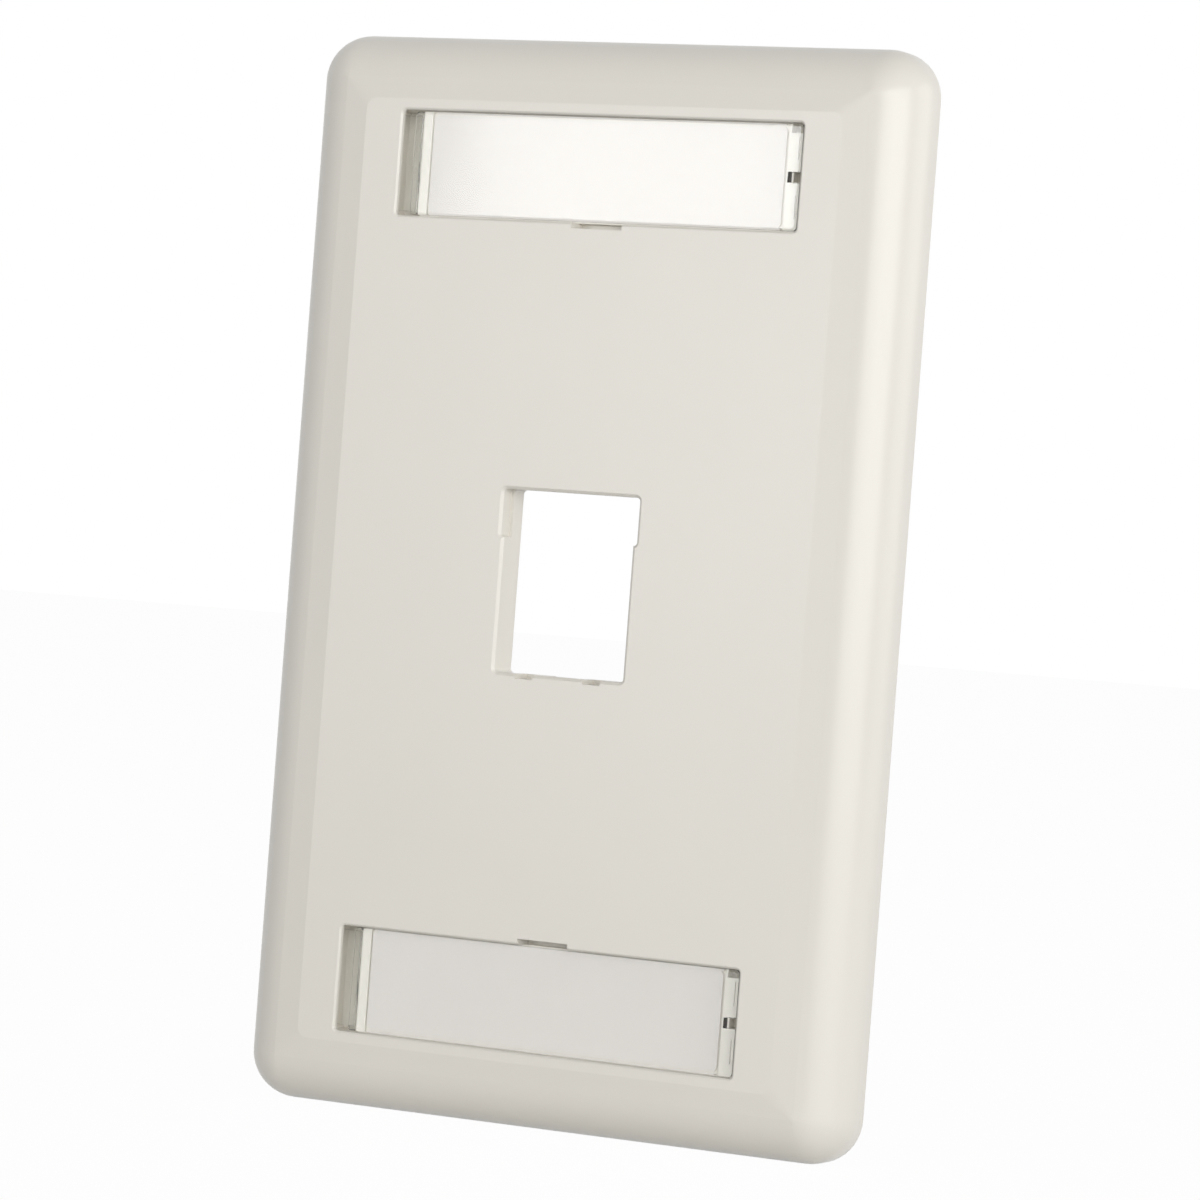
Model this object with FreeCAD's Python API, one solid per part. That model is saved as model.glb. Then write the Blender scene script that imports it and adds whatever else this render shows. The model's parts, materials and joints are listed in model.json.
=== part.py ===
"""Single-gang keystone faceplate with two snap-in label windows.

Frame: +Z up, +X to the right as seen from the front, the front looks along -Y and
the wall plane is y = 0. The origin is the middle of the two-screw pattern on the
wall plane. A depth is counted inwards from the flat front face.
"""
import FreeCAD, Part
import math
import os

from FreeCAD import Vector

# ---- Driving dimensions, millimetres ------------------------------------------------

# Outline and rolled edge of the plate
PLATE_WIDTH = 69.85            # 2.75 in, standard single gang
PLATE_HEIGHT = 114.3           # 4.5 in
PLATE_DEPTH = 7.4              # wall plane to flat face
CORNER_RADIUS = 5.0            # outline corners
ROLL_RADIUS = 5.45             # convex roll from the rim up to the bevel
ROLL_END_SLOPE = 7.0           # degrees, slope left where the roll meets the bevel
BEVEL_WIDTH_SIDE = 2.7         # nearly flat bevel between the roll and the face
BEVEL_WIDTH_END = 2.3          # the same at top and bottom
BEVEL_DROP = 0.3
FACE_CORNER_RADIUS = 1.2       # corners of the flat face
LEAST_CORNER = 0.1             # corner radius always left inside a roll
LEAST_RIM = 0.5                # straight edge always left between wall and roll

# Shell
FACE_WALL = 2.2
RIM_WALL = 1.9
HOLLOW_RADIUS = 3.0            # inside of the roll

# Mounting screws, 6-32 oval head
SCREW_SPACING = 83.3           # 3.281 in between centres
SCREW_RADIUS = 1.75
NECK_RADIUS = 1.5              # unthreaded blank inside the plate
SCREW_LENGTH = 25.4            # 1 in, from the rim of the head to the tip
SCREW_TIP_CHAMFER = 0.5
HEAD_RADIUS = 3.4
HEAD_RIM = 0.25                # short straight edge of the head
HEAD_DOME = 0.7
HEAD_CONE_ANGLE = 82.0
DRIVER_SLOT_WIDTH = 1.1
DRIVER_SLOT_DEPTH = 1.1
CROSS_LENGTH = 3.6             # cross recess, across its wings
CROSS_WIDTH = 0.9
CROSS_DEPTH = 1.9
CROSS_FOOT = 0.8               # width left at the bottom of the recess
SCREW_HOLE_RADIUS = 2.1
HEAD_CLEARANCE = 0.15
SEAT_CLEARANCE = 0.02
DOME_CLEARANCE = 0.1           # from the top of the head to the label card
BOSS_RADIUS = 4.9

# Label windows
WINDOW_WIDTH = 46.2
WINDOW_HEIGHT = 11.2
WINDOW_LIFT = 1.65             # middle of the window outside the screw it hides
WINDOW_CORNER_RADIUS = 0.4
WINDOW_CHAMFER = 0.2
WINDOW_WALL = 1.4              # tub wall and floor behind the face
PRY_SLOT_WIDTH = 5.8
PRY_SLOT_HEIGHT = 0.6
POCKET_DEPTH = 2.6             # pry slot, notch pocket and core pockets behind the face
CATCH_POCKET_LENGTH = 2.4      # core pockets in the ledge beside the catches
CATCH_POCKET_WIDTH = 0.8
CORNER_POCKET_LENGTH = 1.7     # core pocket in the ledge's upper right corner
CORNER_POCKET_HEIGHT = 1.0

# Clear covers: a tab at the left end hooks under the face, the right end snaps in
COVER_RECESS = 0.35            # front of the cover below the face
COVER_THICKNESS = 1.1
COVER_SIDE_CLEARANCE = 0.15
COVER_END_CLEARANCE = 0.2
COVER_HINGE_GAP = 1.35         # open gap between the window's left end and the cover
COVER_EDGE_CHAMFER = 0.2
COVER_CORNER_RADIUS = 0.4
LEDGE_CLEARANCE = 0.05         # back of the cover to the ledge round the card bed
TAB_THICKNESS = 0.7
TAB_REACH = 0.5                # from the window's left end to the tab's pivot
TAB_DROP = 0.05                # pivot behind the back of the cover
TAB_ROOT = 0.5                 # overlap of tab and cover plate
TAB_CLEARANCE = 0.25
LIP_THICKNESS = 0.7            # face left over the tab
TRENCH_DEPTH = 4.2             # deep, under the open gap
NOTCH_WIDTH = 1.3              # pry notch in the cover's snap end
NOTCH_HEIGHT = 1.1
CATCH_RADIUS = 0.15            # catch ridge on the cover's snap end
CATCH_LENGTH = 3.0
CATCH_SPACING = 6.0
CATCH_CLEARANCE = 0.05

# Label cards
CARD_THICKNESS = 0.25
CARD_END_MARGIN = 2.0          # end of the cover to the end of the card
CARD_SIDE_MARGIN = 0.4         # side of the window to the side of the card
CARD_END_CLEARANCE = 0.2       # end of the card to the end of its bed

# Keystone port
PORT_WIDTH = 14.9
PORT_HEIGHT = 19.2
PORT_RADIUS = 0.4
PORT_CHAMFER = 0.3
PORT_GUIDE_DEPTH = 4.1         # depth of the guide walls at the sides
PORT_GUIDE_WALL = 1.8
LATCH_RELIEF = 0.4             # extra width at each side beside the latch
LATCH_RELIEF_HEIGHT = 5.0
LATCH_RELIEF_DEPTH = 1.9
SILL_NOTCH_WIDTH = 2.0
SILL_NOTCH_HEIGHT = 0.5
SILL_NOTCH_DEPTH = 2.9
SILL_NOTCH_OFFSET = 3.9
SILL_LUG_WALL = 0.8            # round the notches, behind the face

# Stiffening behind the face
FRAME_GAP = 3.2                # from the port's edge to the frame around it
RIB_THICKNESS = 1.3
FRAME_DEPTH = 6.3
FRAME_RADIUS = 2.5             # outer corners of the frame
RIB_DEPTH = 5.6
RIB_ROOT = 0.6                 # how far a rib runs into the face wall

OVERSHOOT = 1.0                # how far a cutter runs past what it opens


# ---- Places worked out from the dimensions ------------------------------------------

FACE_Y = -PLATE_DEPTH
WINDOW_OFFSET = SCREW_SPACING / 2 + WINDOW_LIFT
WINDOW_LEFT = -WINDOW_WIDTH / 2
WINDOW_RIGHT = WINDOW_WIDTH / 2
COVER_LEFT = WINDOW_LEFT + COVER_HINGE_GAP
COVER_RIGHT = WINDOW_RIGHT - COVER_END_CLEARANCE
COVER_CENTRE = (COVER_LEFT + COVER_RIGHT) / 2
COVER_HEIGHT = WINDOW_HEIGHT - 2 * COVER_SIDE_CLEARANCE
COVER_BACK_DEPTH = COVER_RECESS + COVER_THICKNESS
PIVOT_X = WINDOW_LEFT - TAB_REACH
PIVOT_DEPTH = COVER_BACK_DEPTH + TAB_DROP
FLOOR_DEPTH = COVER_BACK_DEPTH + CARD_THICKNESS
LEDGE_DEPTH = COVER_BACK_DEPTH + LEDGE_CLEARANCE
CATCH_DEPTH = (COVER_RECESS + COVER_EDGE_CHAMFER + COVER_BACK_DEPTH) / 2
CARD_WIDTH = COVER_RIGHT - COVER_LEFT - 2 * CARD_END_MARGIN
CARD_HEIGHT = WINDOW_HEIGHT - 2 * CARD_SIDE_MARGIN
HEAD_RIM_DEPTH = FLOOR_DEPTH + DOME_CLEARANCE + HEAD_DOME


def at_depth(depth):
    """The y of a plane this far behind the flat face."""
    return FACE_Y + depth


def box(x0, x1, depth0, depth1, z0, z1):
    """Box between two planes along each axis, with depths counted from the face."""
    size = (x1 - x0, depth1 - depth0, z1 - z0)
    return Part.makeBox(*size, Vector(x0, at_depth(depth0), z0))


def rounded_outline(width, height, radius, y, x=0.0, z=0.0):
    """Closed wire of a rounded rectangle in a plane parallel to the wall."""
    half_w, half_h = width / 2, height / 2
    corners = [(1, -1, -90), (1, 1, 0), (-1, 1, 90), (-1, -1, 180)]
    edges, ends = [], []
    for side_x, side_z, start in corners:
        centre = Vector(x + side_x * (half_w - radius), y, z + side_z * (half_h - radius))
        points = []
        for angle in (start, start + 45, start + 90):
            turn = math.radians(angle)
            points.append(centre + Vector(math.cos(turn), 0, math.sin(turn)) * radius)
        ends.append(points)
    for this, following in zip(ends, ends[1:] + ends[:1]):
        edges.append(Part.Arc(*this).toShape())
        edges.append(Part.makeLine(this[2], following[0]))
    return Part.Wire(edges)


def prism(width, height, radius, depth0, depth1, x=0.0, z=0.0):
    """Rounded rectangular prism between two depths."""
    face = Part.Face(rounded_outline(width, height, radius, at_depth(depth0), x, z))
    return face.extrude(Vector(0, depth1 - depth0, 0))


def flared_mouth(width, height, radius, chamfer, x=0.0, z=0.0):
    """Cutter that chamfers the mouth of a rounded rectangular opening in the face."""
    block = prism(width + 2 * chamfer, height + 2 * chamfer, radius + chamfer,
                  -OVERSHOOT, chamfer, x, z)
    inner = [edge for edge in block.Edges
             if all(abs(v.Y - at_depth(chamfer)) < 1e-6 for v in edge.Vertexes)]
    return block.makeChamfer(chamfer, inner)


def fitting_roll(radius, corner, height, end_slope):
    """Radius of a roll, no larger than the outline's corner and the height allow."""
    slope = math.radians(end_slope)
    return min(radius, (corner - LEAST_CORNER) / (1 - math.sin(slope)),
               (height - LEAST_RIM) / math.cos(slope))


def roll_section(radius, end_slope, rim, floor_inset):
    """Section of the rim and roll in the plane z = 0, with the rim on x = 0."""
    slope = math.radians(end_slope)
    centre = Vector(radius, -rim, 0)
    start = Vector(0, -rim, 0)
    points = []
    for share in (0.5, 1.0):
        turn = share * (math.pi / 2 - slope)
        points.append(centre + Vector(-math.cos(turn), -math.sin(turn), 0) * radius)
    arc = Part.Arc(start, *points).toShape()
    end = points[-1]
    corners = [end, Vector(floor_inset, end.y, 0), Vector(floor_inset, 0, 0),
               Vector(0, 0, 0), start]
    return Part.Face(Part.Wire([arc, Part.makePolygon(corners)]))


def rolled_block(width, height, shoulder, corner, radius, end_slope):
    """Solid with a straight rim at the wall, a convex roll all round and a flat front.

    The roll is extruded along the four sides and turned round the four corners.
    """
    rim = shoulder - radius * math.cos(math.radians(end_slope))
    section = roll_section(radius, end_slope, rim, corner)
    half_w, half_h = width / 2, height / 2
    solids = [Part.makeBox(width - 2 * corner, shoulder, height - 2 * corner,
                           Vector(corner - half_w, -shoulder, corner - half_h))]
    for turn, across, along in ((0, half_w, half_h), (90, half_h, half_w),
                                (180, half_w, half_h), (270, half_h, half_w)):
        length = 2 * (along - corner)
        side = section.copy()
        side.translate(Vector(-across, 0, -length / 2))
        side = side.extrude(Vector(0, 0, length))
        bend = section.copy()
        bend.translate(Vector(-across, 0, length / 2))
        axis = Vector(corner - across, 0, length / 2)
        bend = bend.revolve(axis, Vector(0, 1, 0), 90)
        for solid in (side, bend):
            solid.rotate(Vector(0, 0, 0), Vector(0, 1, 0), turn)
            solids.append(solid)
    return solids[0].multiFuse(solids[1:]).removeSplitter()


def outer_form():
    """The plate's outside: rolled block with the bevelled face on top of it."""
    shoulder = PLATE_DEPTH - BEVEL_DROP
    radius = fitting_roll(ROLL_RADIUS, CORNER_RADIUS, shoulder, ROLL_END_SLOPE)
    roll = radius * (1 - math.sin(math.radians(ROLL_END_SLOPE)))
    block = rolled_block(PLATE_WIDTH, PLATE_HEIGHT, shoulder, CORNER_RADIUS,
                         radius, ROLL_END_SLOPE)
    foot = rounded_outline(PLATE_WIDTH - 2 * roll, PLATE_HEIGHT - 2 * roll,
                           CORNER_RADIUS - roll, -shoulder)
    face = rounded_outline(PLATE_WIDTH - 2 * (roll + BEVEL_WIDTH_SIDE),
                           PLATE_HEIGHT - 2 * (roll + BEVEL_WIDTH_END),
                           FACE_CORNER_RADIUS, FACE_Y)
    return block.fuse(Part.makeLoft([foot, face], True, True)).removeSplitter()


def rear_hollow():
    """The space behind the face, open at the wall."""
    depth = PLATE_DEPTH - FACE_WALL
    corner = CORNER_RADIUS - RIM_WALL
    return rolled_block(PLATE_WIDTH - 2 * RIM_WALL, PLATE_HEIGHT - 2 * RIM_WALL, depth,
                        corner, fitting_roll(HOLLOW_RADIUS, corner, depth, 0.0), 0.0)


def window_tub(z):
    """Walls and floor behind one label window, with a deeper end for the tab."""
    left = PIVOT_X - TAB_THICKNESS / 2 - TAB_CLEARANCE - WINDOW_WALL
    right = WINDOW_RIGHT + WINDOW_WALL
    half = WINDOW_HEIGHT / 2 + WINDOW_WALL
    root = FACE_WALL - RIB_ROOT
    floor = box(left, right, root, FLOOR_DEPTH + WINDOW_WALL, z - half, z + half)
    deep_right = COVER_LEFT + TAB_ROOT + TAB_CLEARANCE + WINDOW_WALL
    deep = box(left, deep_right, root, TRENCH_DEPTH + WINDOW_WALL, z - half, z + half)
    return floor.fuse(deep)


def end_pockets(z):
    """Pockets in the ledge at the snap end: under the notch, by the catches, in a corner."""
    half_notch = NOTCH_HEIGHT / 2
    half_catch = CATCH_POCKET_LENGTH / 2
    top = z + WINDOW_HEIGHT / 2
    spans = [(NOTCH_WIDTH, z - half_notch, z + half_notch),
             (CORNER_POCKET_LENGTH, top - CORNER_POCKET_HEIGHT, top)]
    for side in (-1, 1):
        middle = z + side * CATCH_SPACING / 2
        spans.append((CATCH_POCKET_WIDTH, middle - half_catch, middle + half_catch))
    return [box(WINDOW_RIGHT - length, WINDOW_RIGHT, CATCH_DEPTH, POCKET_DEPTH, low, high)
            for length, low, high in spans]


def window_cut(z, inward):
    """Everything cut out for one window: mouth, ledge, card bed, trench and slot."""
    half = WINDOW_HEIGHT / 2
    bed = CARD_WIDTH / 2 + CARD_END_CLEARANCE
    trench_right = COVER_LEFT + TAB_ROOT + TAB_CLEARANCE
    slot_left = PIVOT_X - TAB_THICKNESS / 2 - TAB_CLEARANCE
    mouth = prism(WINDOW_WIDTH, WINDOW_HEIGHT, WINDOW_CORNER_RADIUS, 0, LEDGE_DEPTH, z=z)
    parts = [
        flared_mouth(WINDOW_WIDTH, WINDOW_HEIGHT, WINDOW_CORNER_RADIUS, WINDOW_CHAMFER, z=z),
        box(COVER_CENTRE - bed, COVER_CENTRE + bed, COVER_RECESS, FLOOR_DEPTH,
            z - half, z + half),
        box(WINDOW_LEFT + WINDOW_CORNER_RADIUS, trench_right, COVER_RECESS,
            TRENCH_DEPTH, z - half, z + half),
        box(slot_left, WINDOW_LEFT + WINDOW_CORNER_RADIUS, LIP_THICKNESS, TRENCH_DEPTH,
            z - half, z + half),
        box(WINDOW_RIGHT - WINDOW_CORNER_RADIUS, WINDOW_RIGHT + CATCH_RADIUS,
            CATCH_DEPTH - CATCH_RADIUS - CATCH_CLEARANCE, LEDGE_DEPTH,
            z - half, z + half),
    ]
    half_slot = PRY_SLOT_WIDTH / 2
    edge = z + inward * half
    slot_end = edge + inward * PRY_SLOT_HEIGHT
    for start, depth in ((edge - inward * OVERSHOOT, LEDGE_DEPTH), (edge, POCKET_DEPTH)):
        parts.append(box(COVER_CENTRE - half_slot, COVER_CENTRE + half_slot, 0, depth,
                         *sorted((start, slot_end))))
    return mouth.multiFuse(parts + end_pockets(z))


def screw_boss(z):
    """Post from the window's floor to the wall plane."""
    base = Vector(0, at_depth(FLOOR_DEPTH), z)
    return Part.makeCylinder(BOSS_RADIUS, PLATE_DEPTH - FLOOR_DEPTH, base, Vector(0, 1, 0))


def screw_hole(z):
    """Head pocket, countersink and clearance hole for one screw."""
    half_angle = math.radians(HEAD_CONE_ANGLE / 2)
    mouth_radius = HEAD_RADIUS + HEAD_CLEARANCE
    seat_depth = HEAD_RIM_DEPTH + HEAD_RIM - HEAD_CLEARANCE / math.tan(half_angle)
    seat_depth += SEAT_CLEARANCE
    cone = (mouth_radius - SCREW_HOLE_RADIUS) / math.tan(half_angle)
    along = Vector(0, 1, 0)
    pocket = Part.makeCylinder(mouth_radius, seat_depth - FLOOR_DEPTH / 2,
                               Vector(0, at_depth(FLOOR_DEPTH / 2), z), along)
    seat = Part.makeCone(mouth_radius, SCREW_HOLE_RADIUS, cone,
                         Vector(0, at_depth(seat_depth), z), along)
    bore = Part.makeCylinder(SCREW_HOLE_RADIUS, PLATE_DEPTH,
                             Vector(0, at_depth(seat_depth), z), along)
    return pocket.multiFuse([seat, bore])


def port_cut():
    """Keystone aperture: wider beside the latch, two notches in the sill."""
    top = PORT_HEIGHT / 2
    main = prism(PORT_WIDTH, PORT_HEIGHT, PORT_RADIUS, 0, PLATE_DEPTH + OVERSHOOT)
    relief_width = PORT_WIDTH + 2 * LATCH_RELIEF
    relief_z = top - LATCH_RELIEF_HEIGHT / 2
    parts = [
        prism(relief_width, LATCH_RELIEF_HEIGHT, PORT_RADIUS, 0, LATCH_RELIEF_DEPTH,
              z=relief_z),
        flared_mouth(PORT_WIDTH, PORT_HEIGHT, PORT_RADIUS, PORT_CHAMFER),
        flared_mouth(relief_width, LATCH_RELIEF_HEIGHT, PORT_RADIUS, PORT_CHAMFER,
                     z=relief_z),
    ]
    for side in (-1, 1):
        middle = side * SILL_NOTCH_OFFSET
        parts.append(box(middle - SILL_NOTCH_WIDTH / 2, middle + SILL_NOTCH_WIDTH / 2,
                         0, SILL_NOTCH_DEPTH, -top - SILL_NOTCH_HEIGHT, -top + OVERSHOOT))
    return main.multiFuse(parts)


def port_backing():
    """Guide walls and lugs at the aperture, and the stiffening frame around it."""
    root = FACE_WALL - RIB_ROOT
    half_w, half_h = PORT_WIDTH / 2, PORT_HEIGHT / 2
    guide = prism(PORT_WIDTH + 2 * PORT_GUIDE_WALL, PORT_HEIGHT, PORT_RADIUS,
                  root, PORT_GUIDE_DEPTH)
    lug_half = SILL_NOTCH_WIDTH / 2 + SILL_LUG_WALL
    lug_low = -half_h - SILL_NOTCH_HEIGHT - SILL_LUG_WALL
    lugs = [box(side * SILL_NOTCH_OFFSET - lug_half, side * SILL_NOTCH_OFFSET + lug_half,
                root, PORT_GUIDE_DEPTH, lug_low, -half_h + OVERSHOOT)
            for side in (-1, 1)]
    inner_w, inner_h = 2 * (half_w + FRAME_GAP), 2 * (half_h + FRAME_GAP)
    ring = prism(inner_w + 2 * RIB_THICKNESS, inner_h + 2 * RIB_THICKNESS,
                 FRAME_RADIUS, root, FRAME_DEPTH)
    ring = ring.cut(prism(inner_w, inner_h, FRAME_RADIUS - RIB_THICKNESS,
                          root, FRAME_DEPTH))
    return guide.multiFuse(lugs + [ring])


def ribs():
    """Long ribs from the port frame to the window tubs, cross ribs to the edges."""
    root = FACE_WALL - RIB_ROOT
    half = RIB_THICKNESS / 2
    frame_x = PORT_WIDTH / 2 + FRAME_GAP + half
    frame_z = PORT_HEIGHT / 2 + FRAME_GAP + half
    tub_z = WINDOW_OFFSET - WINDOW_HEIGHT / 2 - half
    edge_x = PLATE_WIDTH / 2 - RIM_WALL / 2
    solids = []
    for side in (-1, 1):
        x = side * frame_x
        for end in (-1, 1):
            low, high = sorted((end * (frame_z - half), end * tub_z))
            solids.append(box(x - half, x + half, root, RIB_DEPTH, low, high))
            z = end * frame_z
            near, far = sorted((side * (frame_x - FRAME_RADIUS / 2), side * edge_x))
            solids.append(box(near, far, root, RIB_DEPTH, z - half, z + half))
    return solids


def make_faceplate():
    outer = outer_form()
    shell = outer.cut(rear_hollow())
    backing = [port_backing()] + ribs()
    for end in (-1, 1):
        backing.append(window_tub(end * WINDOW_OFFSET))
        backing.append(screw_boss(end * SCREW_SPACING / 2))
    backing = backing[0].multiFuse(backing[1:]).common(outer)
    plate = shell.fuse(backing)
    cuts = [port_cut()]
    for end in (-1, 1):
        cuts.append(window_cut(end * WINDOW_OFFSET, -end))
        cuts.append(screw_hole(end * SCREW_SPACING / 2))
    for cut in cuts:
        plate = plate.cut(cut)
    return plate.removeSplitter()


def make_cover(z):
    """Clear cover: flat lens plate, hook tab at the left, snap end at the right."""
    height = COVER_HEIGHT
    width = COVER_RIGHT - COVER_LEFT
    chamfer = COVER_EDGE_CHAMFER
    front = COVER_RECESS
    back = COVER_BACK_DEPTH
    bevel_back = rounded_outline(width, height, COVER_CORNER_RADIUS,
                                 at_depth(front + chamfer), COVER_CENTRE, z)
    bevel_front = rounded_outline(width - 2 * chamfer, height - 2 * chamfer,
                                  COVER_CORNER_RADIUS - chamfer / 2, at_depth(front),
                                  COVER_CENTRE, z)
    plate = prism(width, height, COVER_CORNER_RADIUS, front + chamfer, back,
                  COVER_CENTRE, z)
    plate = plate.fuse(Part.makeLoft([bevel_front, bevel_back], True, True))

    half_tab = TAB_THICKNESS / 2
    tab_height = height - 2 * COVER_CORNER_RADIUS
    low = z - tab_height / 2
    tab = box(PIVOT_X, COVER_LEFT + TAB_ROOT, PIVOT_DEPTH - half_tab,
              PIVOT_DEPTH + half_tab, low, low + tab_height)
    tip = Part.makeCylinder(half_tab, tab_height, Vector(PIVOT_X, at_depth(PIVOT_DEPTH), low))
    cover = plate.multiFuse([tab, tip])

    for side in (-1, 1):
        middle = z + side * CATCH_SPACING / 2
        base = Vector(COVER_RIGHT, at_depth(CATCH_DEPTH), middle - CATCH_LENGTH / 2)
        cover = cover.fuse(Part.makeCylinder(CATCH_RADIUS, CATCH_LENGTH, base))
    notch = box(COVER_RIGHT - NOTCH_WIDTH, COVER_RIGHT + OVERSHOOT, 0, back + OVERSHOOT,
                z - NOTCH_HEIGHT / 2, z + NOTCH_HEIGHT / 2)
    return cover.cut(notch).removeSplitter()


def make_card(z):
    """Plain label card lying in the bed of the window."""
    half_w, half_h = CARD_WIDTH / 2, CARD_HEIGHT / 2
    return box(COVER_CENTRE - half_w, COVER_CENTRE + half_w,
               FLOOR_DEPTH - CARD_THICKNESS, FLOOR_DEPTH, z - half_h, z + half_h)


def make_screw(z):
    """Oval head screw with slot and cross recess, neck, and shank at thread size."""
    half_angle = math.radians(HEAD_CONE_ANGLE / 2)
    rim = HEAD_RIM_DEPTH
    cone_end = rim + HEAD_RIM + (HEAD_RADIUS - NECK_RADIUS) / math.tan(half_angle)
    tip = rim + SCREW_LENGTH
    crown = Vector(0, at_depth(rim - HEAD_DOME), z)
    mid_radius = HEAD_RADIUS / 2
    dome_radius = (HEAD_RADIUS ** 2 + HEAD_DOME ** 2) / (2 * HEAD_DOME)
    sag = dome_radius - math.sqrt(dome_radius ** 2 - mid_radius ** 2)
    dome = Part.Arc(crown, crown + Vector(mid_radius, sag, 0),
                    crown + Vector(HEAD_RADIUS, HEAD_DOME, 0)).toShape()
    outline = [
        (HEAD_RADIUS, rim), (HEAD_RADIUS, rim + HEAD_RIM), (NECK_RADIUS, cone_end),
        (NECK_RADIUS, PLATE_DEPTH), (SCREW_RADIUS, PLATE_DEPTH),
        (SCREW_RADIUS, tip - SCREW_TIP_CHAMFER), (SCREW_RADIUS - SCREW_TIP_CHAMFER, tip),
        (0, tip),
    ]
    points = [Vector(x, at_depth(depth), z) for x, depth in outline] + [crown]
    wire = Part.Wire([dome, Part.makePolygon(points)])
    screw = Part.Face(wire).revolve(Vector(0, 0, z), Vector(0, 1, 0), 360)

    top = rim - HEAD_DOME
    slot = box(-HEAD_RADIUS, HEAD_RADIUS, top - OVERSHOOT, top + DRIVER_SLOT_DEPTH,
               z - DRIVER_SLOT_WIDTH / 2, z + DRIVER_SLOT_WIDTH / 2)
    screw = screw.cut(slot)
    half, foot = CROSS_LENGTH / 2, CROSS_FOOT / 2
    width = CROSS_WIDTH / 2
    for half_x, half_z in ((half, width), (width, half)):
        wing = Part.makeWedge(-half_x, 0, -half_z, -foot, -foot,
                              half_x, CROSS_DEPTH, half_z, foot, foot)
        wing.translate(Vector(0, at_depth(top), z))
        screw = screw.cut(wing)
    return screw


def main():
    shapes = {"faceplate": make_faceplate()}
    for name, end in (("upper", 1), ("lower", -1)):
        shapes[name + "_label_cover"] = make_cover(end * WINDOW_OFFSET)
        shapes[name + "_label_card"] = make_card(end * WINDOW_OFFSET)
        shapes[name + "_mounting_screw"] = make_screw(end * SCREW_SPACING / 2)
    os.makedirs("parts", exist_ok=True)
    for node, shape in shapes.items():
        bounds = shape.BoundBox
        print(f"{node}: {len(shape.Solids)} solid, valid {shape.isValid()}, "
              f"{shape.Volume:.1f} mm3, y {bounds.YMin:.2f} to {bounds.YMax:.2f}")
        shape.exportStep(f"parts/{node}.step")


main()
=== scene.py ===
"""Keystone faceplate: finishes, threaded screws, floor, lamps and camera.

Everything is in metres, in the faceplate's own frame: the wall plane is y = 0, the
front looks along -Y and the origin is the middle of the two screws.
"""
import json
import math

import bmesh
import bpy
from bpy.props import FloatProperty, FloatVectorProperty, IntProperty, PointerProperty
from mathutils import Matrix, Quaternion, Vector


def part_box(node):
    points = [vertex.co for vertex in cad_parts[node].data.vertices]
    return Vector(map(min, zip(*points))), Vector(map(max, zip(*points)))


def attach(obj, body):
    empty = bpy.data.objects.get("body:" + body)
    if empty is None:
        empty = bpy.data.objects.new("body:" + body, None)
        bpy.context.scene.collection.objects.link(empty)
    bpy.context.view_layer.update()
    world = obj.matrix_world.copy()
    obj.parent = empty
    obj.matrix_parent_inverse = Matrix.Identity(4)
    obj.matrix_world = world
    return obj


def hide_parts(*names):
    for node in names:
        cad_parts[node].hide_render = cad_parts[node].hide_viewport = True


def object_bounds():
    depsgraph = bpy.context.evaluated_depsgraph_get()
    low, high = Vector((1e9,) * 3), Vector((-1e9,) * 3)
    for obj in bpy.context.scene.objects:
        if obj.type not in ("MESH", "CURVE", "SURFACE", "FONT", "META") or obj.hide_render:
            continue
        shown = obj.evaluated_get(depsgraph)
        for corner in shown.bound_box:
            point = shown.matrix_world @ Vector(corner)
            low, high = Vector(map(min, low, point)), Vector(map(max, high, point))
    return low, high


bl_info = {
    "name": "Keystone faceplate",
    "version": (1, 0, 0),
    "blender": (4, 5, 0),
    "location": "3D View > Sidebar > Faceplate",
    "description": "Dresses a single-gang keystone faceplate and sets its stage",
    "category": "Object",
}

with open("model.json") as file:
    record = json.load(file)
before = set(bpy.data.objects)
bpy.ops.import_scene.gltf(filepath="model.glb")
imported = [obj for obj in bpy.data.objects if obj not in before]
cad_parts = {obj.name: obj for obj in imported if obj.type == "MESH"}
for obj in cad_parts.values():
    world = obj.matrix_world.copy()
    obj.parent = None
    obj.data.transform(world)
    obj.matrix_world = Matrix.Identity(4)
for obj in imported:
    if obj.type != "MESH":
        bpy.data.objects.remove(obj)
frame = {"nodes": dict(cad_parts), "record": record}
cad_low, cad_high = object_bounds()

MM = 0.001
WINDOWS = ("upper", "lower")
SOFTBOXES = {       # azimuth and elevation in degrees; distance, width, height in metres
    "key": (62, 4, 1.2, 0.7, 0.7),
    "side": (120, 6, 1.2, 0.9, 1.0),
    "left": (-20, 2, 1.0, 0.28, 0.3),
    "front": (33, 5, 1.3, 0.7, 0.7),
}
WALL_Y = 0.0                # the wall plane, where a screw's thread starts
SMOOTH_ANGLE = 30.0         # edges sharper than this many degrees stay sharp
SCREW_SMOOTH_ANGLE = 35.0   # the same, on a screw
FLAT_ANGLE = 0.2            # faces within this many degrees of each other are one
EDGE_STEPS = 2              # facets across a rounded edge
CORNER_STEPS = 6            # facets round a card's corner
DOME_STEPS = 8              # rings from the middle of a screw's head to its rim
THREAD_ROWS = 10            # rows of faces in one turn of the thread
CUT_OVERLAP = 0.01 * MM     # how far the cross recess starts above the crown
SLOT_OVERRUN = 1.0 * MM     # how far the slot's cutter stands past the head
WELD = 0.0001 * MM          # vertices closer than this are one
SLIVER = 0.00001 * MM       # edges shorter than this are taken out
BEVEL_RAYS = 4              # rays that ease an edge in the plastic's shading
COVER_SHADE = 0.96          # share of the lamps' light that passes a clear cover
MIX_A, MIX_B, MIXED = 6, 7, 2       # places of a colour mix's own sockets


def linear(*srgb):
    """A colour given in sRGB as scene linear values."""
    return tuple(v / 12.92 if v <= 0.04045 else ((v + 0.055) / 1.055) ** 2.4 for v in srgb)


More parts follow.
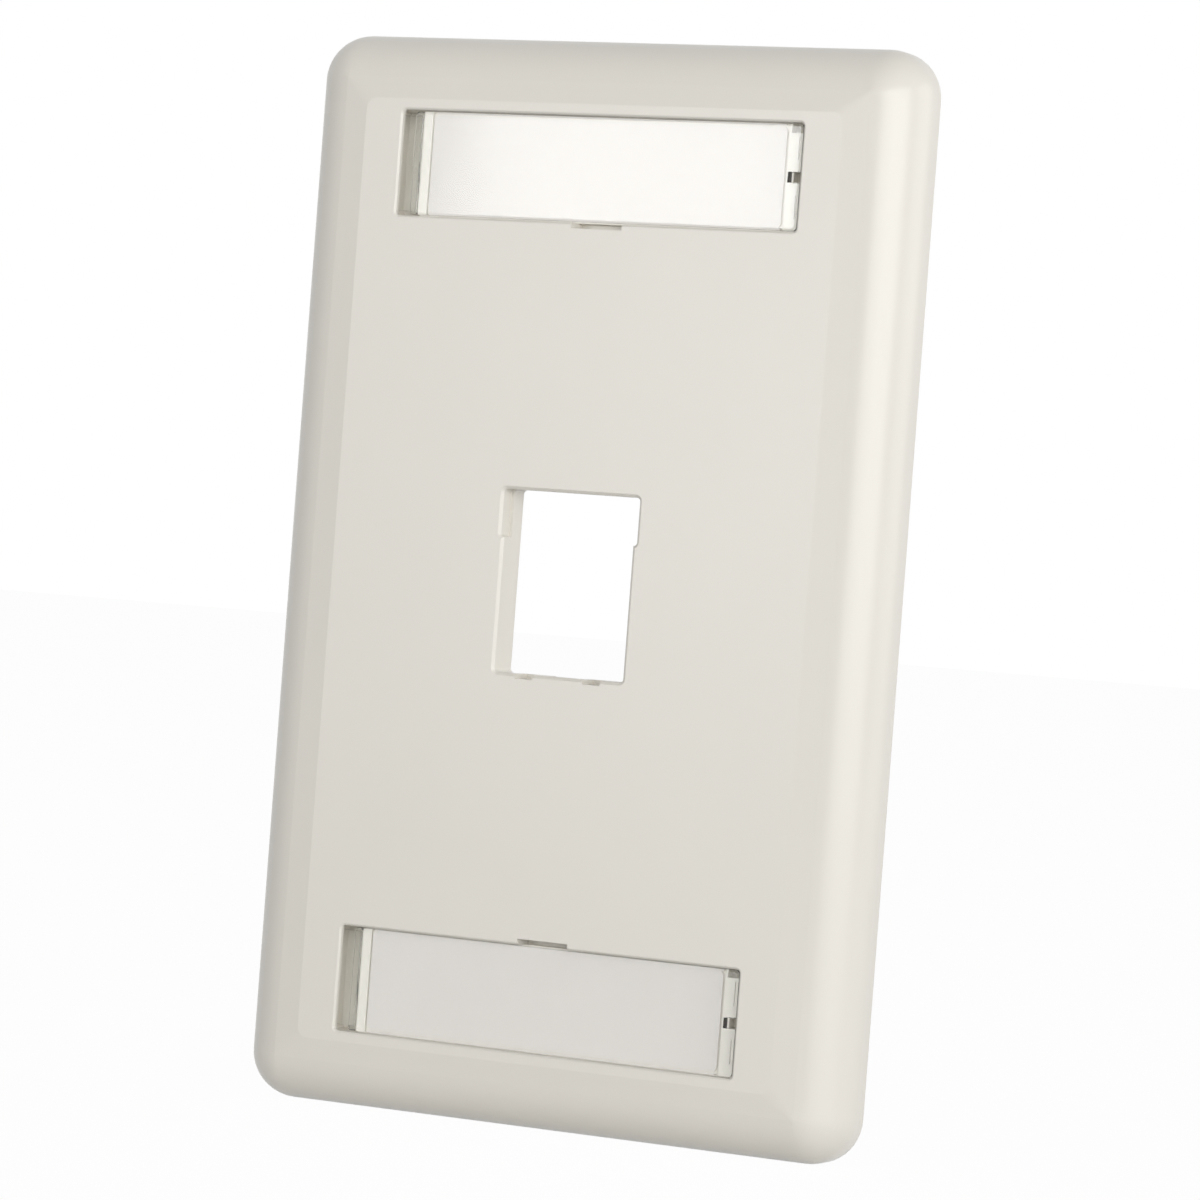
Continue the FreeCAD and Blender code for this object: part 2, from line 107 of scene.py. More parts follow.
def length(name, description, default):
    """A setting that is a length in metres."""
    return FloatProperty(name=name, description=description, default=default,
                         subtype="DISTANCE", unit="LENGTH", precision=5)


def share(name, description, default):
    """A setting between nothing and all."""
    return FloatProperty(name=name, description=description, default=default,
                         min=0.0, max=1.0, subtype="FACTOR")


def angle(name, description, degrees):
    """A setting that is an angle, given in degrees."""
    return FloatProperty(name=name, description=description,
                         default=math.radians(degrees), subtype="ANGLE", unit="ROTATION")


def colour(name, description, *srgb):
    """A setting that is a colour, given in sRGB."""
    return FloatVectorProperty(name=name, description=description, size=3,
                               default=linear(*srgb), min=0.0, max=1.0, subtype="COLOR")


# ---- Settings -----------------------------------------------------------------------

class MouldingSettings(bpy.types.PropertyGroup):
    plastic: colour("Plastic", "Colour of the moulded plate", 0.926, 0.910, 0.874)
    roughness: share("Roughness", "How soft the plate's shine is", 0.30)
    peel_size: length("Peel size", "Size of the moulded skin's waves", 0.9 * MM)
    peel_depth: length("Peel depth", "Height of the moulded skin's waves", 0.0025 * MM)
    edge_radius: length("Edge radius", "How far the plate's edges are eased", 0.12 * MM)


class CoverSettings(bpy.types.PropertyGroup):
    clear: colour("Clear plastic", "Colour that the covers let through", 0.985, 0.99, 0.985)
    roughness: share("Roughness", "How soft the covers' shine is", 0.08)
    index: FloatProperty(name="Index", description="Refractive index of the covers",
                         default=1.49, min=1.0, max=2.0)
    edge_radius: length("Edge radius", "Rounding of the covers' edges", 0.08 * MM)


class CardSettings(bpy.types.PropertyGroup):
    paper: colour("Paper", "Colour of the blank label cards", 0.900, 0.880, 0.865)
    fibre_size: length("Fibre size", "Size of the paper's fibres", 0.12 * MM)
    fibre_depth: length("Fibre depth", "Height of the paper's fibres", 0.006 * MM)
    corner_radius: length("Corner radius", "Corners of the cards", 0.5 * MM)
    cover_gap: length("Cover gap", "Air between a card and its cover", 0.02 * MM)


class ScrewSettings(bpy.types.PropertyGroup):
    steel: colour("Steel", "Colour of the plated screws", 0.80, 0.79, 0.77)
    roughness: share("Roughness", "How soft the screws' shine is", 0.34)
    pitch: length("Pitch", "Advance of the thread in one turn", 0.79375 * MM)
    thread_depth: length("Thread depth", "Crest to root of the thread", 0.48 * MM)
    thread_flat: share("Thread flat", "Share of a flank left flat at crest and root", 0.14)
    neck_radius: length("Neck radius", "Unthreaded neck inside the plate", 1.5 * MM)
    head_dome: length("Head dome", "Height of the oval on the head", 0.7 * MM)
    head_rim: length("Head rim", "Straight edge of the head", 0.25 * MM)
    cone_angle: angle("Cone angle", "Full angle under the head", 82.0)
    tip_chamfer: length("Tip chamfer", "Chamfer at the tip", 0.5 * MM)
    slot_width: length("Slot width", "Width of the driver slot", 1.1 * MM)
    slot_depth: length("Slot depth", "Depth of the driver slot", 1.1 * MM)
    cross_length: length("Cross length", "Length of the cross recess", 3.6 * MM)
    cross_width: length("Cross width", "Width of the cross recess", 0.9 * MM)
    cross_depth: length("Cross depth", "Depth of the cross recess", 1.9 * MM)
    cross_foot: length("Cross foot", "Width left at the bottom of the cross", 0.8 * MM)
    sides: IntProperty(name="Sides", description="Facets round a screw", default=48, min=12)


class StageSettings(bpy.types.PropertyGroup):
    aim: FloatVectorProperty(name="Aim", description="Point the camera looks at", size=3,
                             default=(0.6 * MM, 0.3 * MM, -1.3 * MM),
                             subtype="TRANSLATION", unit="LENGTH", precision=5)
    distance: length("Distance", "Camera to the point it looks at", 522.7 * MM)
    azimuth: angle("Azimuth", "Camera's turn to the right of the front", 25.40)
    elevation: angle("Elevation", "Camera's height above the horizontal", 0.44)
    roll: angle("Roll", "Turn of the camera about its own axis", 4.34)
    lens: FloatProperty(name="Lens", description="Focal length", default=149.0,
                        subtype="DISTANCE_CAMERA")
    floor_size: length("Floor size", "Side of the floor", 6.0)
    floor_shade: share("Floor shade", "How much of the floor's shading shows", 0.03)
    floor_tone: share("Floor tone", "Light that the floor gives back", 0.7)
    sky: FloatProperty(name="Sky", description="Even light all round", default=0.305, min=0.0)
    key: FloatProperty(name="Key", description="Radiance of the right softbox",
                       default=3.85, min=0.0)
    left: FloatProperty(name="Left", description="Radiance of the left softbox",
                        default=5.75, min=0.0)
    front: FloatProperty(name="Front", description="Radiance of the front softbox",
                         default=3.95, min=0.0)
    side: FloatProperty(name="Side", description="Radiance of the side softbox",
                        default=1.45, min=0.0)


SETTINGS = {
    "moulding": MouldingSettings,
    "cover": CoverSettings,
    "card": CardSettings,
    "screw": ScrewSettings,
    "stage": StageSettings,
}


def settings(scene, part):
    """The settings of one part, kept on the scene."""
    return getattr(scene, "faceplate_" + part)


# ---- Shader helpers -----------------------------------------------------------------

def add_node(tree, kind, **values):
    """A node with these properties, or sockets where it has no such property, set."""
    node = tree.nodes.new(kind)
    for name, value in values.items():
        if hasattr(node, name):
            setattr(node, name, value)
        else:
            node.inputs[name.replace("_", " ")].default_value = value
    return node


def make_group(name, inputs, outputs):
    """An empty shader group: inputs are (name, type, default), outputs (name, type)."""
    group = bpy.data.node_groups.new(name, "ShaderNodeTree")
    for label, kind, default in inputs:
        socket = group.interface.new_socket(label, in_out="INPUT", socket_type=kind)
        socket.default_value = default
    for label, kind in outputs:
        group.interface.new_socket(label, in_out="OUTPUT", socket_type=kind)
    return group, group.nodes.new("NodeGroupInput"), group.nodes.new("NodeGroupOutput")


def grain_group():
    """Grain: fine and broad noise of a stated size, both about 0 to 1."""
    if "Grain" in bpy.data.node_groups:
        return bpy.data.node_groups["Grain"]
    group, given, result = make_group(
        "Grain",
        [("Size", "NodeSocketFloat", MM), ("Detail", "NodeSocketFloat", 2.0),
         ("Breadth", "NodeSocketFloat", 20.0), ("Stretch", "NodeSocketVector", (1, 1, 1))],
        [("Fine", "NodeSocketFloat"), ("Broad", "NodeSocketFloat")])
    links = group.links
    place = group.nodes.new("ShaderNodeTexCoord")
    stretched = add_node(group, "ShaderNodeVectorMath", operation="MULTIPLY")
    links.new(place.outputs["Object"], stretched.inputs[0])
    links.new(given.outputs["Stretch"], stretched.inputs[1])
    per_metre = add_node(group, "ShaderNodeMath", operation="DIVIDE")
    per_metre.inputs[0].default_value = 1.0
    links.new(given.outputs["Size"], per_metre.inputs[1])
    broad_scale = add_node(group, "ShaderNodeMath", operation="DIVIDE")
    links.new(per_metre.outputs[0], broad_scale.inputs[0])
    links.new(given.outputs["Breadth"], broad_scale.inputs[1])
    for scale, label in ((per_metre, "Fine"), (broad_scale, "Broad")):
        noise = group.nodes.new("ShaderNodeTexNoise")
        links.new(stretched.outputs[0], noise.inputs["Vector"])
        links.new(scale.outputs[0], noise.inputs["Scale"])
        links.new(given.outputs["Detail"], noise.inputs["Detail"])
        links.new(noise.outputs["Fac"], result.inputs[label])
    return group


def spread_group():
    """Spread: takes a value about one half to a level and a swing round it."""
    if "Spread" in bpy.data.node_groups:
        return bpy.data.node_groups["Spread"]
    group, given, result = make_group(
        "Spread",
        [("Value", "NodeSocketFloat", 0.5), ("Level", "NodeSocketFloat", 0.5),
         ("Swing", "NodeSocketFloat", 0.1)],
        [("Value", "NodeSocketFloat")])
    links = group.links
    centred = add_node(group, "ShaderNodeMath", operation="SUBTRACT")
    links.new(given.outputs["Value"], centred.inputs[0])
    centred.inputs[1].default_value = 0.5
    swung = add_node(group, "ShaderNodeMath", operation="MULTIPLY_ADD")
    links.new(centred.outputs[0], swung.inputs[0])
    links.new(given.outputs["Swing"], swung.inputs[1])
    links.new(given.outputs["Level"], swung.inputs[2])
    links.new(swung.outputs[0], result.inputs["Value"])
    return group


def place_group(tree, group, **values):
    """A shader group placed in a tree with its own values."""
    node = tree.nodes.new("ShaderNodeGroup")
    node.node_tree = group
    for name, value in values.items():
        node.inputs[name].default_value = value
    return node


def new_material(name):
    """A new material, its node tree and its Principled shader."""
    material = bpy.data.materials.new(name)
    material.use_nodes = True
    tree = material.node_tree
    shader = tree.nodes["Principled BSDF"]
    return material, tree, shader


def give_relief(tree, shader, height, depth, normal=None):
    """Feeds a height that runs from 0 to 1 over this depth to the shader's normal."""
    bump = tree.nodes.new("ShaderNodeBump")
    bump.inputs["Distance"].default_value = depth
    tree.links.new(height, bump.inputs["Height"])
    if normal is not None:
        tree.links.new(normal, bump.inputs["Normal"])
    tree.links.new(bump.outputs["Normal"], shader.inputs["Normal"])


def give_swing(tree, value, level, swing, socket):
    """Feeds a value that varies round a level to a socket."""
    node = place_group(tree, spread_group(), Level=level, Swing=swing)
    tree.links.new(value, node.inputs["Value"])
    tree.links.new(node.outputs["Value"], socket)


def give_tones(tree, value, base, lighter, darker, socket):
    """Feeds a colour that varies between a darker and a lighter tone of the base."""
    mix = add_node(tree, "ShaderNodeMix", data_type="RGBA")
    mix.inputs[MIX_A].default_value = (*(v * darker for v in base), 1)
    mix.inputs[MIX_B].default_value = (*(min(v * lighter, 1) for v in base), 1)
    tree.links.new(value, mix.inputs["Factor"])
    tree.links.new(mix.outputs[MIXED], socket)


# ---- Materials ----------------------------------------------------------------------

def moulded_plastic(given):
    """Semi-gloss moulded plastic with a faint orange-peel skin."""
    material, tree, shader = new_material("moulded_plastic")
    grain = place_group(tree, grain_group(), Size=given.peel_size, Detail=1.5, Breadth=14.0)
    give_tones(tree, grain.outputs["Broad"], given.plastic, lighter=1.01, darker=0.985,
               socket=shader.inputs["Base Color"])
    give_swing(tree, grain.outputs["Fine"], level=given.roughness, swing=0.04,
               socket=shader.inputs["Roughness"])
    eased = add_node(tree, "ShaderNodeBevel", samples=BEVEL_RAYS, Radius=given.edge_radius)
    give_relief(tree, shader, grain.outputs["Fine"], depth=given.peel_depth,
                normal=eased.outputs["Normal"])
    return material


def clear_plastic(given):
    """Clear glossy plastic that lets the lamps reach what is behind it."""
    material, tree, shader = new_material("clear_plastic")
    shader.inputs["Base Color"].default_value = (*given.clear, 1)
    shader.inputs["Transmission Weight"].default_value = 1.0
    shader.inputs["IOR"].default_value = given.index
    grain = place_group(tree, grain_group(), Size=2.5 * MM, Detail=0.0, Breadth=4.0)
    give_swing(tree, grain.outputs["Broad"], level=given.roughness, swing=0.03,
               socket=shader.inputs["Roughness"])
    give_relief(tree, shader, grain.outputs["Fine"], depth=0.002 * MM)
    lamp_ray = tree.nodes.new("ShaderNodeLightPath")
    passing = add_node(tree, "ShaderNodeBsdfTransparent", Color=(*[COVER_SHADE] * 3, 1))
    mix = tree.nodes.new("ShaderNodeMixShader")
    tree.links.new(lamp_ray.outputs["Is Shadow Ray"], mix.inputs["Fac"])
    tree.links.new(shader.outputs["BSDF"], mix.inputs[1])
    tree.links.new(passing.outputs["BSDF"], mix.inputs[2])
    tree.links.new(mix.outputs["Shader"], tree.nodes["Material Output"].inputs["Surface"])
    return material


def label_paper(given):
    """Uncoated card with short fibres."""
    material, tree, shader = new_material("label_paper")
    grain = place_group(tree, grain_group(), Size=given.fibre_size, Detail=4.0,
                        Breadth=30.0, Stretch=(0.35, 1.0, 1.0))
    give_tones(tree, grain.outputs["Fine"], given.paper, lighter=1.015, darker=0.975,
               socket=shader.inputs["Base Color"])
    give_swing(tree, grain.outputs["Broad"], level=0.85, swing=0.1,
               socket=shader.inputs["Roughness"])
    give_relief(tree, shader, grain.outputs["Fine"], depth=given.fibre_depth)
    return material


def plated_steel(given):
    """Zinc plated steel with fine marks round the turned faces."""
    material, tree, shader = new_material("plated_steel")
    grain = place_group(tree, grain_group(), Size=0.25 * MM, Detail=3.0, Breadth=8.0,
                        Stretch=(1.0, 4.0, 1.0))
    give_tones(tree, grain.outputs["Broad"], given.steel, lighter=1.05, darker=0.88,
               socket=shader.inputs["Base Color"])
    give_swing(tree, grain.outputs["Fine"], level=given.roughness, swing=0.1,
               socket=shader.inputs["Roughness"])
    shader.inputs["Metallic"].default_value = 1.0
    give_relief(tree, shader, grain.outputs["Fine"], depth=0.004 * MM)
    return material


# ---- Mesh helpers -------------------------------------------------------------------

def finish_mesh(name, bm, material, smooth_angle=SMOOTH_ANGLE):
    """Object from a bmesh, smooth apart from the edges sharper than the angle."""
    bmesh.ops.recalc_face_normals(bm, faces=bm.faces)
    mesh = bpy.data.meshes.new(name)
    bm.to_mesh(mesh)
    bm.free()
    for polygon in mesh.polygons:
        polygon.use_smooth = True
    mesh.set_sharp_from_angle(angle=math.radians(smooth_angle))
    mesh.materials.append(material)
    piece = bpy.data.objects.new(name, mesh)
    bpy.context.scene.collection.objects.link(piece)
    return piece


def apply_modifiers(piece):
    """Leaves the piece with the mesh that its modifiers make."""
    seen = piece.evaluated_get(bpy.context.evaluated_depsgraph_get())
    mesh = bpy.data.meshes.new_from_object(seen)
    piece.modifiers.clear()
    piece.data = mesh


def eased_copy(node, name, material, radius):
    """Copy of a node's form with its sharp edges rounded."""
    bm = bmesh.new()
    bm.from_mesh(frame["nodes"][node].data)
    bmesh.ops.remove_doubles(bm, verts=bm.verts, dist=WELD)
    bmesh.ops.dissolve_limit(bm, angle_limit=math.radians(FLAT_ANGLE), verts=bm.verts,
                             edges=bm.edges)
    piece = finish_mesh(name, bm, material)
    bevel = piece.modifiers.new("edges", "BEVEL")
    bevel.width = radius
    bevel.segments = EDGE_STEPS
    bevel.limit_method = "ANGLE"
    bevel.angle_limit = math.radians(SMOOTH_ANGLE)
    bevel.harden_normals = True
    apply_modifiers(piece)
    return piece


def turned_ring(bm, radius, y, centre_z, sides):
    """Ring of vertices round the screw's axis, or one vertex on it."""
    if radius <= 0:
        return [bm.verts.new((0, y, centre_z))]
    ring = []
    for step in range(sides):
        turn = 2 * math.pi * step / sides
        ring.append(bm.verts.new((radius * math.cos(turn), y,
                                  centre_z + radius * math.sin(turn))))
    return ring


def join_rings(bm, first, second):
    """Faces between two rings of one count, or between a ring and a point."""
    count = max(len(first), len(second))
    for step in range(count):
        after = (step + 1) % count
        corners = [first[step % len(first)], first[after % len(first)],
                   second[after % len(second)], second[step % len(second)]]
        bm.faces.new(list(dict.fromkeys(corners)))


def tapered_block(bm, centre_z, front, back):
    """Closed block between two rectangles, each given as half x, half z and y."""
    verts = []
    for half_x, half_z, y in (front, back):
        for x, z in ((-half_x, -half_z), (half_x, -half_z), (half_x, half_z),
                     (-half_x, half_z)):
            verts.append(bm.verts.new((x, y, centre_z + z)))
    bm.faces.new(verts[:4][::-1])
    bm.faces.new(verts[4:])
    for side in range(4):
        after = (side + 1) % 4
        bm.faces.new((verts[side], verts[after], verts[4 + after], verts[4 + side]))


# ---- Cards --------------------------------------------------------------------------

def rounded_outline(low, high, radius):
    """Corners of an upright rectangle with round corners, as x and z."""
    outline = []
    for side_x, side_z, start in ((1, 1, 0), (-1, 1, 90), (-1, -1, 180), (1, -1, 270)):
        x = (high.x if side_x > 0 else low.x) - side_x * radius
        z = (high.z if side_z > 0 else low.z) - side_z * radius
        for step in range(CORNER_STEPS + 1):
            turn = math.radians(start + 90 * step / CORNER_STEPS)
            outline.append((x + radius * math.cos(turn), z + radius * math.sin(turn)))
    return outline


def blank_card(node, name, given, material):
    """Card with round corners, in the place of the plain one."""
    low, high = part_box(node)
    outline = rounded_outline(low, high, given.corner_radius)
    bm = bmesh.new()
    front = [bm.verts.new((x, low.y + given.cover_gap, z)) for x, z in outline]
    back = [bm.verts.new((x, high.y, z)) for x, z in outline]
    bm.faces.new(front)
    bm.faces.new(back[::-1])
    join_rings(bm, front, back)
    return finish_mesh(name, bm, material)


# ---- Screws -------------------------------------------------------------------------

def head_profile(given, crown_y, head_radius, neck_end_y):
    """Radius and y down the head: dome, rim, cone and neck."""
    dome_radius = (head_radius ** 2 + given.head_dome ** 2) / (2 * given.head_dome)
    rows = []
    for step in range(DOME_STEPS + 1):
        radius = head_radius * step / DOME_STEPS
        sag = dome_radius - math.sqrt(dome_radius ** 2 - radius ** 2)
        rows.append((radius, crown_y + sag))
    rim_y = crown_y + given.head_dome + given.head_rim
    rows.append((head_radius, rim_y))
    cone = (head_radius - given.neck_radius) / math.tan(given.cone_angle / 2)
    rows.append((given.neck_radius, rim_y + cone))
    rows.append((given.neck_radius, neck_end_y))
    return rows


def thread_radius(given, crest, y, start_y, tip_y, place):
    """Radius of the threaded shank at y, at a place from 0 to 1 across one thread."""
    from_crest = abs(place - 0.5) * 2
    flat = given.thread_flat
    drop = min(max((from_crest - flat) / (1 - 2 * flat), 0.0), 1.0)
    radius = crest - given.thread_depth * drop
    run_in = min((y - start_y) / given.pitch, 1.0)
    radius = given.neck_radius + (radius - given.neck_radius) * run_in
    return min(radius, crest - given.tip_chamfer + (tip_y - y))


def threaded_shank(bm, given, crest, start_y, tip_y, centre_z):
    """Helical thread whose rows follow the helix, from the neck to the tip."""
    rise = given.pitch / THREAD_ROWS
    rows = int(math.ceil((tip_y - start_y) / rise)) + THREAD_ROWS + 1
    columns = []
    for step in range(given.sides):
        column = []
        turn = step / given.sides
        for row in range(rows):
            y = start_y + (row - THREAD_ROWS + turn * THREAD_ROWS) * rise
            y = min(max(y, start_y), tip_y)
            place = (row % THREAD_ROWS) / THREAD_ROWS
            radius = thread_radius(given, crest, y, start_y, tip_y, place)
            if y in (start_y, tip_y):
                radius = given.neck_radius if y == start_y else crest - given.tip_chamfer
            at = 2 * math.pi * turn
            column.append(bm.verts.new((radius * math.cos(at), y,
                                        centre_z + radius * math.sin(at))))
        columns.append(column)
    for step, column in enumerate(columns):
        following = columns[(step + 1) % given.sides]
        shift = THREAD_ROWS if step == given.sides - 1 else 0
        for row in range(rows - 1 - shift):
            corners = (column[row], column[row + 1], following[row + 1 + shift],
                       following[row + shift])
            bm.faces.new(corners)
    bmesh.ops.remove_doubles(bm, verts=bm.verts, dist=WELD)


def driver_recess(given, crown_y, head_radius, centre_z):
    """Cutter for the slot and the cross recess."""
    bm = bmesh.new()
    reach, half = head_radius + SLOT_OVERRUN, given.slot_width / 2
    tapered_block(bm, centre_z, (reach, half, crown_y - SLOT_OVERRUN),
                  (reach, half, crown_y + given.slot_depth))
    foot = given.cross_foot / 2
    long, wide = given.cross_length / 2, given.cross_width / 2
    for half_x, half_z in ((long, wide), (wide, long)):
        tapered_block(bm, centre_z, (half_x, half_z, crown_y - CUT_OVERLAP),
                      (foot, foot, crown_y + given.cross_depth))
    bmesh.ops.recalc_face_normals(bm, faces=bm.faces)
    mesh = bpy.data.meshes.new("driver_recess")
    bm.to_mesh(mesh)
    bm.free()
    cutter = bpy.data.objects.new("driver_recess", mesh)
    bpy.context.scene.collection.objects.link(cutter)
    return cutter


def threaded_screw(node, name, given, material):
    """Oval head screw with its thread, in the place of the plain one."""
    low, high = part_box(node)
    centre_z = (low.z + high.z) / 2
    head_radius = (high.x - low.x) / 2
    mount = next(m for m in frame["record"]["mounts"] if m["name"] == "wall_screws")
    crest = mount["dims"]["stud_r_mm"] * MM
    bm = bmesh.new()
    threaded_shank(bm, given, crest, WALL_Y, high.y, centre_z)
    rings = [turned_ring(bm, radius, y, centre_z, given.sides)
             for radius, y in head_profile(given, low.y, head_radius, WALL_Y)]
    for first, second in zip(rings, rings[1:]):
        join_rings(bm, first, second)
    bmesh.ops.remove_doubles(bm, verts=bm.verts, dist=WELD)
    bmesh.ops.dissolve_degenerate(bm, edges=bm.edges, dist=SLIVER)
    bmesh.ops.holes_fill(bm, edges=[e for e in bm.edges if e.is_boundary], sides=0)
    piece = finish_mesh(name, bm, material, SCREW_SMOOTH_ANGLE)
    cutter = driver_recess(given, low.y, head_radius, centre_z)
    cut = piece.modifiers.new("recess", "BOOLEAN")
    cut.object = cutter
    cut.solver = "EXACT"
    cut.use_self = True
    apply_modifiers(piece)
    bpy.data.objects.remove(cutter)
    return piece


# ---- Operators ----------------------------------------------------------------------

class FACEPLATE_OT_moulding(bpy.types.Operator):
    """Gives the moulded plate its plastic"""
    bl_idname = "faceplate.moulding"
    bl_label = "Moulded plate"

    def execute(self, context):
        material = moulded_plastic(settings(context.scene, "moulding"))
        plate = frame["nodes"]["faceplate"]
        plate.data.materials.clear()
        plate.data.materials.append(material)
        return {"FINISHED"}


class FACEPLATE_OT_label_covers(bpy.types.Operator):
    """Builds the two clear covers with rounded edges"""
    bl_idname = "faceplate.label_covers"
    bl_label = "Clear label covers"

    def execute(self, context):
        given = settings(context.scene, "cover")
        material = clear_plastic(given)
        for window in WINDOWS:
            node = window + "_label_cover"
            piece = eased_copy(node, window + "_clear_cover", material, given.edge_radius)
            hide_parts(node)
            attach(piece, window + "_cover")
        return {"FINISHED"}


class FACEPLATE_OT_label_cards(bpy.types.Operator):
    """Builds the two blank cards behind the covers"""
    bl_idname = "faceplate.label_cards"
    bl_label = "Label cards"

    def execute(self, context):
        given = settings(context.scene, "card")
        material = label_paper(given)
        for window in WINDOWS:
            node = window + "_label_card"
            piece = blank_card(node, window + "_card", given, material)
            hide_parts(node)
            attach(piece, "plate")
        return {"FINISHED"}


class FACEPLATE_OT_mounting_screws(bpy.types.Operator):
    """Builds the two mounting screws with their threads"""
    bl_idname = "faceplate.mounting_screws"
    bl_label = "Mounting screws"

    def execute(self, context):
        given = settings(context.scene, "screw")
        material = plated_steel(given)
        for window in WINDOWS:
            node = window + "_mounting_screw"
            piece = threaded_screw(node, window + "_threaded_screw", given, material)
            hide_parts(node)
            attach(piece, "plate")
        return {"FINISHED"}


# ---- Stage --------------------------------------------------------------------------

def softbox(name, azimuth, elevation, distance, width, height, radiance):
    """Area lamp of a stated radiance that faces the origin from a place in degrees."""
    lamp = bpy.data.lights.new(name, "AREA")
    lamp.shape = "RECTANGLE"
    lamp.size = width
    lamp.size_y = height
    lamp.energy = radiance * math.pi * width * height
    holder = bpy.data.objects.new(name, lamp)
    holder.visible_transmission = False
    bpy.context.scene.collection.objects.link(holder)
    toward = direction(math.radians(azimuth), math.radians(elevation))
    holder.location = toward * distance
    holder.rotation_euler = toward.to_track_quat("Z", "Y").to_euler()


def direction(azimuth, elevation):
    """Unit vector from the object: azimuth to the right of the front, in radians."""
    flat = math.cos(elevation)
    return Vector((math.sin(azimuth) * flat, -math.cos(azimuth) * flat, math.sin(elevation)))


def backdrop_ray(tree):
    """Value that is 1 on camera, mirror and clear-plastic rays, before they scatter."""
    path = tree.nodes.new("ShaderNodeLightPath")
    value = path.outputs["Is Camera Ray"]
    for name in ("Is Glossy Ray", "Is Transmission Ray"):
        either = add_node(tree, "ShaderNodeMath", operation="MAXIMUM")
        tree.links.new(value, either.inputs[0])
        tree.links.new(path.outputs[name], either.inputs[1])
        value = either.outputs[0]
    direct = add_node(tree, "ShaderNodeMath", operation="SUBTRACT", use_clamp=True)
    tree.links.new(value, direct.inputs[0])
    tree.links.new(path.outputs["Diffuse Depth"], direct.inputs[1])
    return direct.outputs[0]


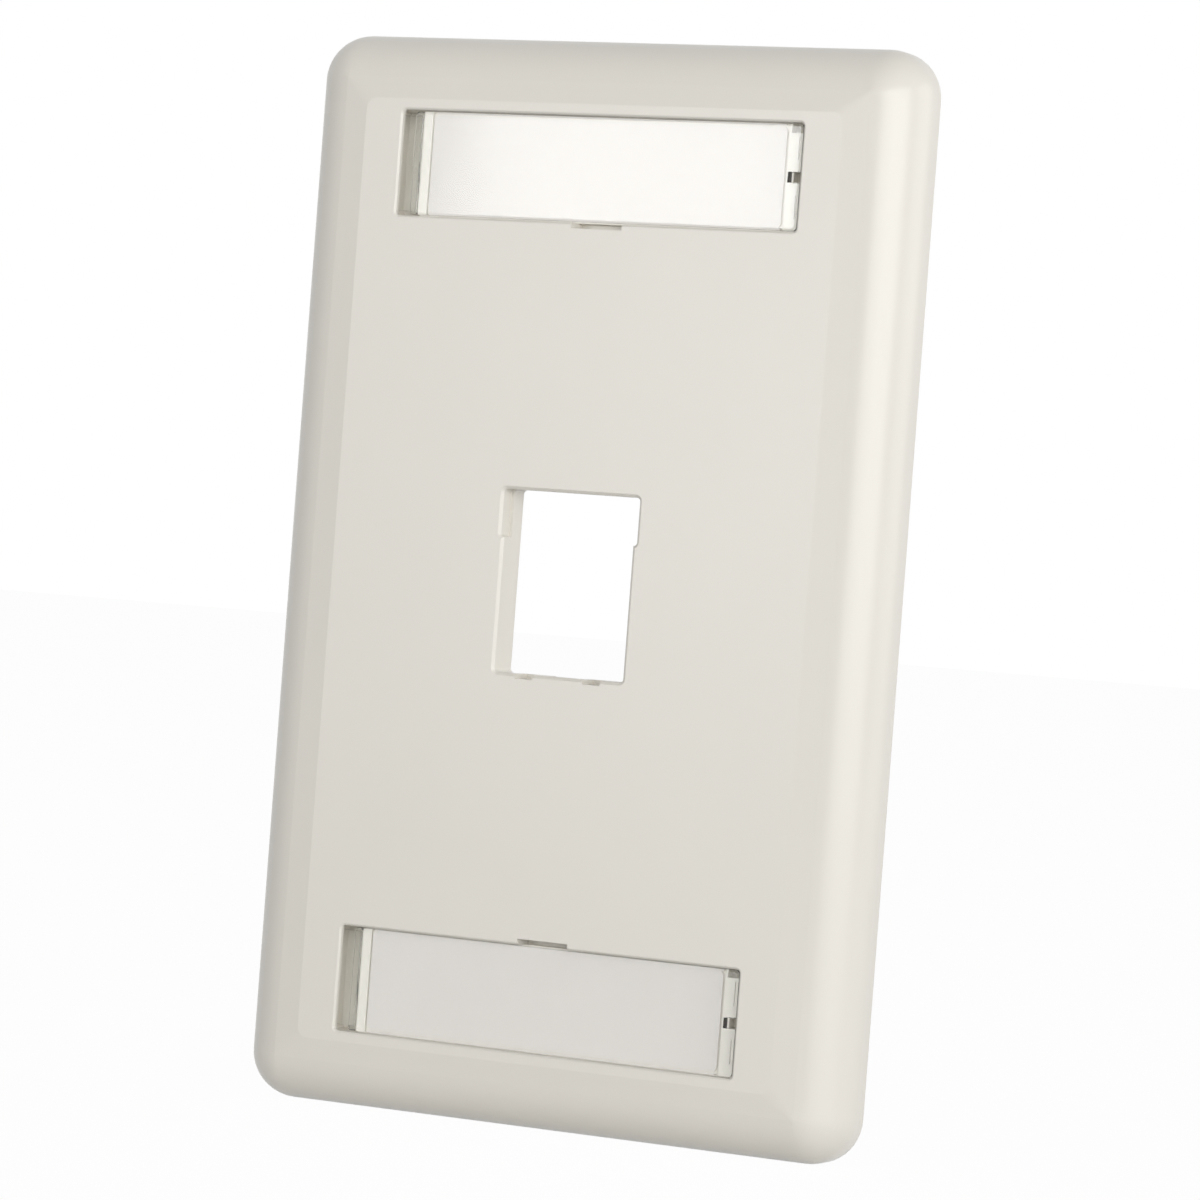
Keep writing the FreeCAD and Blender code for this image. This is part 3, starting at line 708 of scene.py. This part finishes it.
class FACEPLATE_OT_stage(bpy.types.Operator):
    """Sets up the floor, the lamps, the world and the camera"""
    bl_idname = "faceplate.stage"
    bl_label = "Stage"

    def execute(self, context):
        scene = context.scene
        given = settings(scene, "stage")
        self.make_floor(given)
        self.make_world(scene, given)
        for name, place in SOFTBOXES.items():
            softbox(name + "_softbox", *place, getattr(given, name))
        self.make_camera(scene, given)
        scene.view_settings.view_transform = "Standard"
        return {"FINISHED"}

    def make_floor(self, given):
        """A white floor under the plate that keeps its shadow."""
        half = given.floor_size / 2
        bm = bmesh.new()
        corners = [bm.verts.new((x, y, cad_low.z))
                   for x, y in ((-half, -half), (half, -half), (half, half), (-half, half))]
        bm.faces.new(corners)
        material, tree, shader = new_material("studio_floor")
        backdrop = backdrop_ray(tree)
        tone = add_node(tree, "ShaderNodeMix", data_type="RGBA")
        tone.inputs[MIX_A].default_value = (*[given.floor_tone] * 3, 1)
        tone.inputs[MIX_B].default_value = (1, 1, 1, 1)
        tree.links.new(backdrop, tone.inputs["Factor"])
        tree.links.new(tone.outputs[MIXED], shader.inputs["Base Color"])
        shader.inputs["Roughness"].default_value = 0.9
        shader.inputs["Specular IOR Level"].default_value = 0.0
        glow = add_node(tree, "ShaderNodeEmission", Strength=1.0)
        amount = add_node(tree, "ShaderNodeMath", operation="MULTIPLY")
        tree.links.new(backdrop, amount.inputs[0])
        amount.inputs[1].default_value = 1.0 - given.floor_shade
        mix = tree.nodes.new("ShaderNodeMixShader")
        tree.links.new(amount.outputs[0], mix.inputs["Fac"])
        tree.links.new(shader.outputs["BSDF"], mix.inputs[1])
        tree.links.new(glow.outputs["Emission"], mix.inputs[2])
        tree.links.new(mix.outputs["Shader"],
                       tree.nodes["Material Output"].inputs["Surface"])
        finish_mesh("studio_floor", bm, material)

    def make_world(self, scene, given):
        """An even sky, white behind the object."""
        world = bpy.data.worlds.new("studio")
        world.use_nodes = True
        tree = world.node_tree
        background = tree.nodes["Background"]
        background.inputs["Color"].default_value = (1, 1, 1, 1)
        strength = add_node(tree, "ShaderNodeMix", data_type="FLOAT")
        tree.links.new(backdrop_ray(tree), strength.inputs["Factor"])
        strength.inputs["A"].default_value = given.sky
        strength.inputs["B"].default_value = 1.0
        tree.links.new(strength.outputs["Result"], background.inputs["Strength"])
        scene.world = world

    def make_camera(self, scene, given):
        """A long lens to the right of the front, with a slight roll."""
        camera = bpy.data.cameras.new("camera")
        camera.lens = given.lens
        camera.clip_start = 1.0 * MM
        holder = bpy.data.objects.new("camera", camera)
        scene.collection.objects.link(holder)
        toward = direction(given.azimuth, given.elevation)
        holder.location = Vector(given.aim) + toward * given.distance
        look = toward.to_track_quat("Z", "Y") @ Quaternion((0, 0, 1), given.roll)
        holder.rotation_euler = look.to_euler()
        scene.camera = holder


# ---- Panel and registration ---------------------------------------------------------

class FACEPLATE_PT_panel(bpy.types.Panel):
    """Lists the faceplate's pieces and their settings"""
    bl_idname = "FACEPLATE_PT_panel"
    bl_label = "Keystone faceplate"
    bl_space_type = "VIEW_3D"
    bl_region_type = "UI"
    bl_category = "Faceplate"

    def draw(self, context):
        for operator, (part, group) in zip(OPERATORS, SETTINGS.items()):
            box = self.layout.box()
            box.operator(operator.bl_idname)
            for name in group.__annotations__:
                box.prop(settings(context.scene, part), name)


# One operator for each group of settings, in the same order.
OPERATORS = (
    FACEPLATE_OT_moulding,
    FACEPLATE_OT_label_covers,
    FACEPLATE_OT_label_cards,
    FACEPLATE_OT_mounting_screws,
    FACEPLATE_OT_stage,
)
CLASSES = (*SETTINGS.values(), *OPERATORS, FACEPLATE_PT_panel)


def register():
    for cls in CLASSES:
        bpy.utils.register_class(cls)
    for part, group in SETTINGS.items():
        setattr(bpy.types.Scene, "faceplate_" + part, PointerProperty(type=group))


def unregister():
    for part in SETTINGS:
        delattr(bpy.types.Scene, "faceplate_" + part)
    for cls in reversed(CLASSES):
        bpy.utils.unregister_class(cls)


def main():
    register()
    bpy.ops.faceplate.moulding()
    bpy.ops.faceplate.label_covers()
    bpy.ops.faceplate.label_cards()
    bpy.ops.faceplate.mounting_screws()
    bpy.ops.faceplate.stage()


if __name__ == "__main__":
    main()
